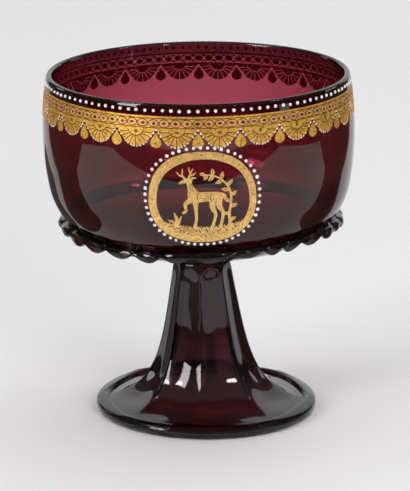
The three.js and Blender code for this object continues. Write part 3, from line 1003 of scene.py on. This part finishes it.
def addRimBeads():
    row = distanceOnWall(band["rimBeadHeight"])
    places = []
    for i in range(band["rimBeads"]):
        turn = (i + chance.uniform(-0.07, 0.07)) * 2 * math.pi / band["rimBeads"]
        size = band["rimBead"] * chance.uniform(0.92, 1.08)
        places.append((turn, row + chance.uniform(-0.15, 0.15), size, size * 0.85))
    addDomes("rimBeads", places, whiteEnamel)


def makeBand():
    gold, rings, hubs = Leaves(), Leaves(), Leaves()
    blots = Leaves(), Leaves()
    addCells(gold, rings, blots)
    addFans(gold, hubs)
    gold.finish("giltBand", bandGold, "gilding", ["gilt_band"])
    rings.finish("giltCells", cellGold, "gilding")
    blots[0].finish("blackDots", blackEnamel, "dark_enamel")
    blots[1].finish("brownDots", brownEnamel, "dark_enamel")
    hubs.finish("greenDots", greenEnamel, "green_enamel")
    addRimBeads()


makeBand()
print("gilt band made")


# Roundel: a ring, a ground and a hart under a leafy bough, within a ring of beads

roundel = {
    "turn": math.radians(1.35),
    "middle": 130.5,
    "half": (26.5, 23.9),  # half its width and height, over the ring
    "power": 2.2,  # 2 is an ellipse, more is squarer
    "ringWidth": 3.75,
    "ringRise": (0.13, 0.16),  # how thick its gold is at its edges and along its middle
    "openingShift": (0.35, -0.2),  # how far its opening lies off the middle
    "beads": 51,
    "bead": 0.84,
    "beadsOut": 1.75,  # how far outside the ring the beads sit
}


def roundelOutline(inset, steps):
    angles = roundTurn(steps)
    share = 2 / roundel["power"]
    cos, sin = np.cos(angles), np.sin(angles)
    x = (roundel["half"][0] - inset) * np.sign(cos) * np.abs(cos) ** share
    y = (roundel["half"][1] - inset) * np.sign(sin) * np.abs(sin) ** share
    return x, y


# Across and up from the roundel's middle, on the wall.
def onRoundel(x, y, lift):
    distance = distanceOnWall(roundel["middle"]) + np.asarray(y, float)
    radius = outsideAt(distance)[0]
    return onBowl(roundel["turn"] + np.asarray(x, float) / radius, distance, lift)


def makeRing():
    steps = 200
    angles = roundTurn(steps)
    wobble = 0.12 * np.sin(3 * angles + 1) + 0.09 * np.sin(7 * angles) + 0.06 * np.sin(17 * angles)
    outer = np.array(roundelOutline(0.1 * np.sin(5 * angles) + 0.05 * np.sin(23 * angles), steps))
    inner = np.array(roundelOutline(roundel["ringWidth"] + wobble, steps))
    inner += np.array(roundel["openingShift"])[:, None]
    edge, crown = roundel["ringRise"]
    sunk = -leaf["sunk"]
    section = ((0, edge), (0.33, crown), (0.67, crown), (1, edge), (1, sunk), (0, sunk))
    points = [onRoundel(*between((outer, inner), share), lift) for share, lift in section]
    points = np.array(points).transpose(1, 0, 2)
    faces = netFaces(steps, len(section))
    addPiece("roundelRing", points.reshape(-1, 3), faces, roundelGold, ["roundel_ring"])


def makeRoundelBeads():
    x, y = roundelOutline(-roundel["beadsOut"], 720)
    x, y = np.r_[x, x[0]], np.r_[y, y[0]]
    length = np.r_[0, np.cumsum(np.hypot(np.diff(x), np.diff(y)))]
    middle = distanceOnWall(roundel["middle"])
    radius = float(outsideAt(middle)[0])
    places = []
    for i in range(roundel["beads"]):
        place = (i + chance.uniform(-0.06, 0.06)) * length[-1] / roundel["beads"]
        turn = roundel["turn"] + np.interp(place, length, x) / radius
        distance = middle + np.interp(place, length, y)
        size = roundel["bead"] * chance.uniform(0.9, 1.1)
        places.append((turn, distance, size, size * 0.8))
    replaced = [f"roundel_bead_{i + 1:02d}" for i in range(roundel["beads"])]
    addDomes("roundelBeads", places, whiteEnamel, replaced)


# The hart is drawn as tapering brush strokes: rows of across, up and width.
hart = {
    "drawnHalf": (22.5, 20.4),  # half the opening that it is drawn for
    "groundTop": -14.8,
    "groundHollow": 1.6,
    "lap": 0.3,  # how far the ground runs under the ring
    "pits": 330,
    "pitsAcross": (-17, 17),  # between which places they are, and how wide they are
    "pitsUp": (-20, -14.2),
    "pitSize": (0.16, 0.3),
    "step": 0.2,  # of the grid that its edges are worked out on
    "blend": 0.5,  # how softly one limb runs into the next
    "strokes": [
        [[8.6, 1, 3], [6.8, 1.3, 4.8], [2.4, 1.4, 4.8], [-1.4, 1.1, 5.2], [-4.8, 2.1, 5]],  # body
        [[-3.9, 2, 5.2], [-5.7, 6, 3.1], [-6.6, 9.4, 2.3]],  # neck
        [[-5.9, 9.7, 2.2], [-8.2, 9.5, 2.1], [-10.8, 8.3, 1.2]],  # head
        [[-6, 10.2, 1.2], [-4.4, 11, 1.1], [-3, 11, 0.5]],  # ear
        [[-5, 0, 3.2], [-8.2, -2.6, 1.8], [-7.9, -6, 1.2], [-9.2, -7.2, 1.3]],  # raised foreleg
        [[-3.4, 0, 3.4], [-3.2, -5.4, 1.8], [-3, -10.4, 1.3], [-3.8, -15, 1.6]],  # standing foreleg
        [[7.6, 1.2, 4], [7.9, -3.6, 2.8], [9.8, -7.6, 1.6], [8.6, -15, 1.4]],  # hind legs
        [[5.4, 0.4, 4.4], [4.7, -4.4, 2.6], [6.2, -8.2, 1.5], [4.6, -15, 1.4]],
        [[9, 2.6, 1.4], [10.6, 1.8, 1.2], [11, 0.2, 0.7]],  # tail
    ],
    "twigs": [
        [[-6.8, 10.2, 1], [-6, 12.6, 0.9], [-4.6, 15.4, 0.6]],  # near antler
        [[-6.2, 12, 0.8], [-4.4, 12.6, 0.7], [-3.2, 13.8, 0.5]],
        [[-5.6, 13.4, 0.7], [-6.4, 15, 0.6], [-6.4, 16.2, 0.5]],
        [[-7.8, 10.2, 1], [-9.6, 12.2, 0.8], [-9.4, 15.4, 0.5]],  # far antler
        [[-9, 11.6, 0.8], [-10.8, 12.2, 0.7], [-12.2, 13.8, 0.5]],
        # bough
        [[13.4, -15, 1.9], [12.8, -8, 1.3], [13.7, 0, 1.1], [12, 6.8, 1], [6.8, 11.4, 0.8], [1, 12.6, 0.5]],
        [[-12.2, -14.6, 1.4], [-12.4, -11, 1.8], [-13.6, -7.4, 0.5]],  # plant
        [[-12.2, -14.6, 1.4], [-11.3, -11.6, 1.5], [-10.2, -9.2, 0.5]],
        [[-12.2, -14.6, 1.2], [-14.4, -12.2, 1.3], [-16.6, -11.4, 0.4]],
    ],
    # Leaves of the bough: across, up, length and direction in degrees.
    "leaves": [
        [13.5, -4.6, 3.8, 30],
        [13.2, -1.6, 3.8, 150],
        [13.6, 1.4, 4, 40],
        [12.8, 4.4, 4, 170],
        [12, 6.8, 4, 50],
        [9.6, 9.6, 4, 205],
        [8.8, 10.2, 4, 75],
        [5.6, 11.9, 3.8, 220],
        [5, 12, 3.8, 95],
        [1.4, 12.6, 3, 170],
        [2.4, 12.4, 3.2, 235],
        [13.3, -8.4, 3.4, 160],
        [13.1, -11.4, 3.2, 25],
    ],
    # Lines scratched through the gold.
    "scratches": [
        [[-1.6, 3.4, 0.3], [-2.6, 1.2, 0.34], [-2.0, -1.2, 0.3]],  # shoulder
        [[4.4, 3.4, 0.3], [3.6, 1.0, 0.34], [4.2, -1.4, 0.3]],  # haunch
        [[6.5, 0.4, 0.26], [6.3, -2.6, 0.3], [7.0, -5.4, 0.26]],
        [[-8.9, 9.9, 0.5], [-8.8, 9.92, 0.5]],  # eye
        [[-10.4, 8.0, 0.22], [-9.4, 8.5, 0.24]],  # mouth
        [[-5.6, 10.6, 0.22], [-4.0, 11.0, 0.24]],
        [[-4.4, 8.2, 0.24], [-4.9, 5.4, 0.26], [-3.4, 3.6, 0.24]],  # mane
        [[-5.2, 7.9, 0.22], [-5.6, 5.6, 0.24], [-4.6, 3.9, 0.22]],
        [[-6.1, 7.2, 0.2], [-6.2, 5.8, 0.22], [-5.6, 4.4, 0.2]],
        [[0.2, -0.2, 0.24], [1.6, -0.5, 0.26], [3.0, -0.2, 0.24]],  # belly
        [[0.4, 0.5, 0.22], [1.6, 0.2, 0.24], [2.8, 0.5, 0.22]],
        [[0.8, 3.0, 0.22], [2.2, 3.1, 0.22], [3.4, 2.9, 0.2]],
        [[-0.6, 2.6, 0.2], [-1.1, 1.2, 0.22], [-0.6, 0.0, 0.2]],
        [[5.4, 2.8, 0.2], [4.8, 1.2, 0.22], [5.2, -0.2, 0.2]],
    ],
}


# How far each place is from a tapering stroke.
def strokeField(x, y, rows, steps=6):
    line = spline(rows, steps)
    field = np.full(x.shape, 99.0)
    for (ax, ay, aw), (bx, by, bw) in zip(line, line[1:]):
        length = max((bx - ax) ** 2 + (by - ay) ** 2, 1e-9)
        share = np.clip(((x - ax) * (bx - ax) + (y - ay) * (by - ay)) / length, 0, 1)
        gap = np.hypot(x - ax - share * (bx - ax), y - ay - share * (by - ay))
        field = np.minimum(field, gap - (aw + (bw - aw) * share) / 2)
    return field


def blendFields(first, second, reach):
    share = np.clip(0.5 + 0.5 * (second - first) / reach, 0, 1)
    return second + (first - second) * share - reach * share * (1 - share)


# A leaf that swells in the middle, with a rib scratched along it.
def leafField(x, y, across, up, length, degrees):
    cos, sin = math.cos(math.radians(degrees)), math.sin(math.radians(degrees))
    along = (x - across) * cos + (y - up) * sin
    aside = -(x - across) * sin + (y - up) * cos
    share = np.clip(along / length, 0, 1)
    swell = 0.95 * np.sin(math.pi * share**0.85)
    field = np.maximum(np.abs(aside) - swell, np.maximum(-along, along - length))
    rib = np.maximum(np.abs(aside) - 0.12, np.maximum(0.6 - along, along - length * 0.8))
    return np.maximum(field, -rib)


def drawHart(x, y):
    field = np.full(x.shape, 99.0)
    for rows in hart["strokes"]:
        field = blendFields(field, strokeField(x, y, rows), hart["blend"])
    for rows in hart["twigs"]:
        field = np.minimum(field, strokeField(x, y, rows))
    for rows in hart["scratches"]:
        field = np.maximum(field, -strokeField(x, y, rows))
    for row in hart["leaves"]:
        field = np.minimum(field, leafField(x, y, *row))
    return field


# The ground: a hollow line with grass on it, pitted all over with a fine point.
def drawGround(x, y, opening):
    hollow = hart["groundTop"] + hart["groundHollow"] * (2 * (x / 15) ** 2 - 1) * 0.5
    tufts = 0.9 * np.abs(np.sin(x * 1.9 + 0.6 * np.sin(x * 0.7))) ** 3
    blades = 0.5 * np.sin(x * 4.3) ** 2
    field = np.maximum(y - hollow - tufts - blades, opening)
    for _ in range(hart["pits"]):
        across, up = chance.uniform(*hart["pitsAcross"]), chance.uniform(*hart["pitsUp"])
        field = np.maximum(field, chance.uniform(*hart["pitSize"]) - np.hypot(x - across, y - up))
    return field


# Leaf of gold wherever the field is negative, its edge worked out between the places of a grid.
def traceField(leaves, xs, ys, field):
    places, index, edges = [], {}, []

    def vertex(key, x, y):
        if key not in index:
            index[key] = len(places)
            places.append((x, y))
        return index[key]

    inside = field < 0
    some = inside[:-1, :-1] | inside[1:, :-1] | inside[:-1, 1:] | inside[1:, 1:]
    for j, i in zip(*np.nonzero(some)):
        corners = [(j, i), (j, i + 1), (j + 1, i + 1), (j + 1, i)]
        ring, cuts = [], []
        for a, b in zip(corners, corners[1:] + corners[:1]):
            if inside[a]:
                ring.append(vertex(a, xs[a[1]], ys[a[0]]))
            if inside[a] != inside[b]:
                share = field[a] / (field[a] - field[b])
                x = xs[a[1]] + (xs[b[1]] - xs[a[1]]) * share
                y = ys[a[0]] + (ys[b[0]] - ys[a[0]]) * share
                cut = vertex((min(a, b), max(a, b)), x, y)
                ring.append(cut)
                cuts.append((cut, inside[a]))
        leaves.append(ring)
        for k, (cut, leaving) in enumerate(cuts):
            if leaving:
                edges.append((cut, cuts[(k + 1) % len(cuts)][0]))
    return np.array(places), edges


def makeFigure():
    opening = np.array(roundel["half"]) - roundel["ringWidth"]
    stretch = opening / hart["drawnHalf"]
    reach = opening + 2 * hart["lap"]
    xs = np.arange(-reach[0], reach[0], hart["step"]) / stretch[0]
    ys = np.arange(-reach[1], reach[1], hart["step"]) / stretch[1]
    x, y = np.meshgrid(xs, ys)
    power = roundel["power"]
    wide, high = hart["drawnHalf"]
    squareness = np.abs(x / wide) ** power + np.abs(y / high) ** power
    edge = (squareness ** (1 / power) - 1) * opening[1] - hart["lap"]
    field = np.minimum(drawHart(x, y), drawGround(x, y, edge))
    field = np.where(np.abs(field) < 1e-6, 1e-6, field)
    faces = []
    places, edges = traceField(faces, xs, ys, field)
    places = places * stretch
    top = onRoundel(places[:, 0], places[:, 1], leaf["thick"])
    low = onRoundel(places[:, 0], places[:, 1], -leaf["sunk"])
    count = len(places)
    faces += [tuple(i + count for i in face[::-1]) for face in faces]
    faces += [(a, b, b + count, a + count)[::-1] for a, b in edges]
    addPiece("roundelFigure", np.vstack([top, low]), faces, roundelGold, ["roundel_figure"])


makeRing()
makeFigure()
makeRoundelBeads()
print("roundel made")


# Floor, light and camera

def addFloor():
    mesh = bpy.data.meshes.new("floor")
    size = 6.0
    corners = [(-size, -size, 0), (size, -size, 0), (size, size, 0), (-size, size, 0)]
    mesh.from_pydata(corners, [], [(0, 1, 2, 3)])
    mesh.materials.append(paleFloor)
    floor = bpy.data.objects.new("floor", mesh)
    bpy.context.scene.collection.objects.link(floor)


lampAim = 0.09  # the height that every lamp points at, in metres


# Azimuth is from the front, growing to the right; radiance is how bright its reflection is.
# A lamp that isn't mirrored only lights; one that isn't lighting is only mirrored.
def addLamp(name, azimuth, elevation, away, size, radiance, mirrored=True, lighting=True):
    azimuth, elevation = math.radians(azimuth), math.radians(elevation)
    flat = away * math.cos(elevation)
    light = bpy.data.lights.new(name, "AREA")
    light.shape = "RECTANGLE"
    light.size, light.size_y = size
    light.energy = radiance * size[0] * size[1] * math.pi
    lamp = bpy.data.objects.new(name, light)
    up = away * math.sin(elevation) + lampAim
    lamp.location = (flat * math.sin(azimuth), -flat * math.cos(azimuth), up)
    lamp.rotation_euler = (math.pi / 2 - elevation, 0, azimuth)
    lamp.visible_glossy = mirrored
    lamp.visible_diffuse = lighting
    bpy.context.scene.collection.objects.link(lamp)


# A thing of the room, that is there only in the reflections of glass and gold.
def addMirrored(name, points, faces, material):
    mesh = bpy.data.meshes.new(name)
    mesh.from_pydata(points, [], faces)
    mesh.materials.append(material)
    thing = bpy.data.objects.new(name, mesh)
    bpy.context.scene.collection.objects.link(thing)
    thing.visible_camera = False
    thing.visible_diffuse = False
    thing.visible_transmission = False
    thing.visible_shadow = False


# The room as the glass shows it: a lit table, dark floor in front of it and at its sides, a low
# white board beyond its front, a dark patch on the floor behind the bowl on the left, and a dark stand on
# either side.
room = {
    "far": 6.0,
    "up": 0.002,  # how far the dark parts lie above the floor
    "tableSide": 0.8,
    "tableFront": (-0.38, -0.48),  # at its left and right corner
    "board": -1.0,
    "boardSide": 1.6,
    "boardHeight": (0.043, 0.15),  # height of its top at its left and right end
    "boardRadiance": 1.0,
    "patch": [(-0.16, 0.10), (-0.03, 0.10), (-0.03, 0.50), (-0.30, 0.50), (-0.30, 0.28)],
    "stands": [(-0.208, 0.03), (0.208, 0.045)],
    "standOutline": [  # radius and height in mm
        (75, 0),
        (66, 25),
        (52, 45),
        (44, 65),
        (45, 88),
        (58, 100),
        (72, 120),
        (79, 148),
        (75, 177),
        (0, 150),
    ],
}


def addRoom():
    far, up, side = room["far"], room["up"], room["tableSide"]
    left, right = room["tableFront"]
    edge = [(-far, left, up), (-side, left, up), (side, right, up), (far, right, up)]
    points = [*edge, (far, -far, up), (-far, -far, up)]
    addMirrored("darkFront", points, [(0, 1, 2, 3, 4, 5)], darkRoom)
    for sign, front, name in ((-1, left, "darkLeft"), (1, right, "darkRight")):
        near, out = sign * side, sign * far
        points = [(near, front, up), (out, front, up), (out, far, up), (near, far, up)]
        addMirrored(name, points, [(0, 1, 2, 3)], darkRoom)
    # A darker patch of floor behind the bowl on the left, seen only in reflections.
    addMirrored("darkPatch", [(x, y, up) for x, y in room["patch"]], [(0, 1, 2, 3, 4)], darkRoom)


def addBoard():
    litBoard = makeGlow("litBoard", (1.0, 0.98, 0.98), room["boardRadiance"])
    side, front = room["boardSide"], room["board"]
    low, high = room["boardHeight"]
    points = [(-side, front, 0), (side, front, 0), (side, front, high), (-side, front, low)]
    addMirrored("litBoard", points, [(0, 1, 2, 3)], litBoard)


def addStands():
    steps = 32
    outline = np.array(room["standOutline"]) * mm
    faces = netFaces(steps, len(outline), closeColumns=False)
    for i, (x, y) in enumerate(room["stands"]):
        points = []
        for angle in roundTurn(steps):
            for radius, height in outline:
                points.append((x + radius * math.cos(angle), y + radius * math.sin(angle), height))
        addMirrored(f"darkStand{i + 1}", points, faces, darkStand)


# A dim room that grows lighter overhead.
def addWorld(low, high):
    world = bpy.data.worlds.new("studio")
    world.use_nodes = True
    bpy.context.scene.world = world
    shader = Shader(world.node_tree)
    up = shader.add("SeparateXYZ", {}, {"Vector": shader.add("TexCoord", output="Generated")}, "Z")
    stops = [(0.0, (low, low, low)), (0.15, (low, low, low)), (0.6, (high, high, high * 1.02))]
    colour = shader.add("ValToRGB", {"stops": stops}, {"Fac": up})
    surface = shader.add("Background", {}, {"Color": colour, "Strength": 1.0})
    shader.add("OutputWorld", {}, {"Surface": surface})


view = {
    "focal": 2921.5,  # in the dots of a picture that is this many dots high
    "pictureHigh": 491,
    "sensor": 36.0,
    "place": (0.00316, -1.440, 0.4852),
    "down": 0.2706,  # how far it looks down, in radians
}


def addCamera():
    camera = bpy.data.cameras.new("camera")
    camera.sensor_width = view["sensor"]
    camera.lens = view["focal"] * view["sensor"] / view["pictureHigh"]
    shot = bpy.data.objects.new("camera", camera)
    shot.location = view["place"]
    shot.rotation_euler = (math.pi / 2 - view["down"], 0, 0)
    bpy.context.scene.collection.objects.link(shot)
    bpy.context.scene.camera = shot


addFloor()
addRoom()
addBoard()
addStands()
addLamp("softboxLeft", -54, 24, 1.5, (0.40, 0.70), 10.0)
addLamp("softboxHigh", -96, 62, 1.6, (0.50, 0.36), 4.5, lighting=False)
addLamp("softboxTop", -100, 84, 3.1, (3.4, 4.4), 1.0, mirrored=False)
addLamp("sideRight", 116, 12, 1.2, (0.35, 0.25), 2.0)
addLamp("sideLeft", -124, 13, 1.2, (0.22, 0.3), 2.2)
addLamp("backdrop", 176, 22, 2.4, (3.6, 2.0), 0.75)
addLamp("spotRight", 29, 33, 1.4, (0.11, 0.11), 24.0)
addLamp("spotHigh", 93, 58, 1.5, (0.14, 0.14), 20.0, lighting=False)
addLamp("spotLeft", -50, 33, 1.4, (0.16, 0.14), 16.0, lighting=False)
addLamp("windowRight", 64, 4, 1.4, (0.2, 0.14), 1.3)
addLamp("fillRight", 95, 42, 2.0, (1.2, 1.2), 0.8, mirrored=False)
addLamp("fillBack", 150, 50, 2.2, (1.4, 1.0), 1.4, mirrored=False)
addLamp("fillFront", 30, 15, 1.8, (0.8, 0.8), 6.4, mirrored=False)
addWorld(0.04, 0.2)
addCamera()
bpy.context.scene.view_settings.view_transform = "Standard"
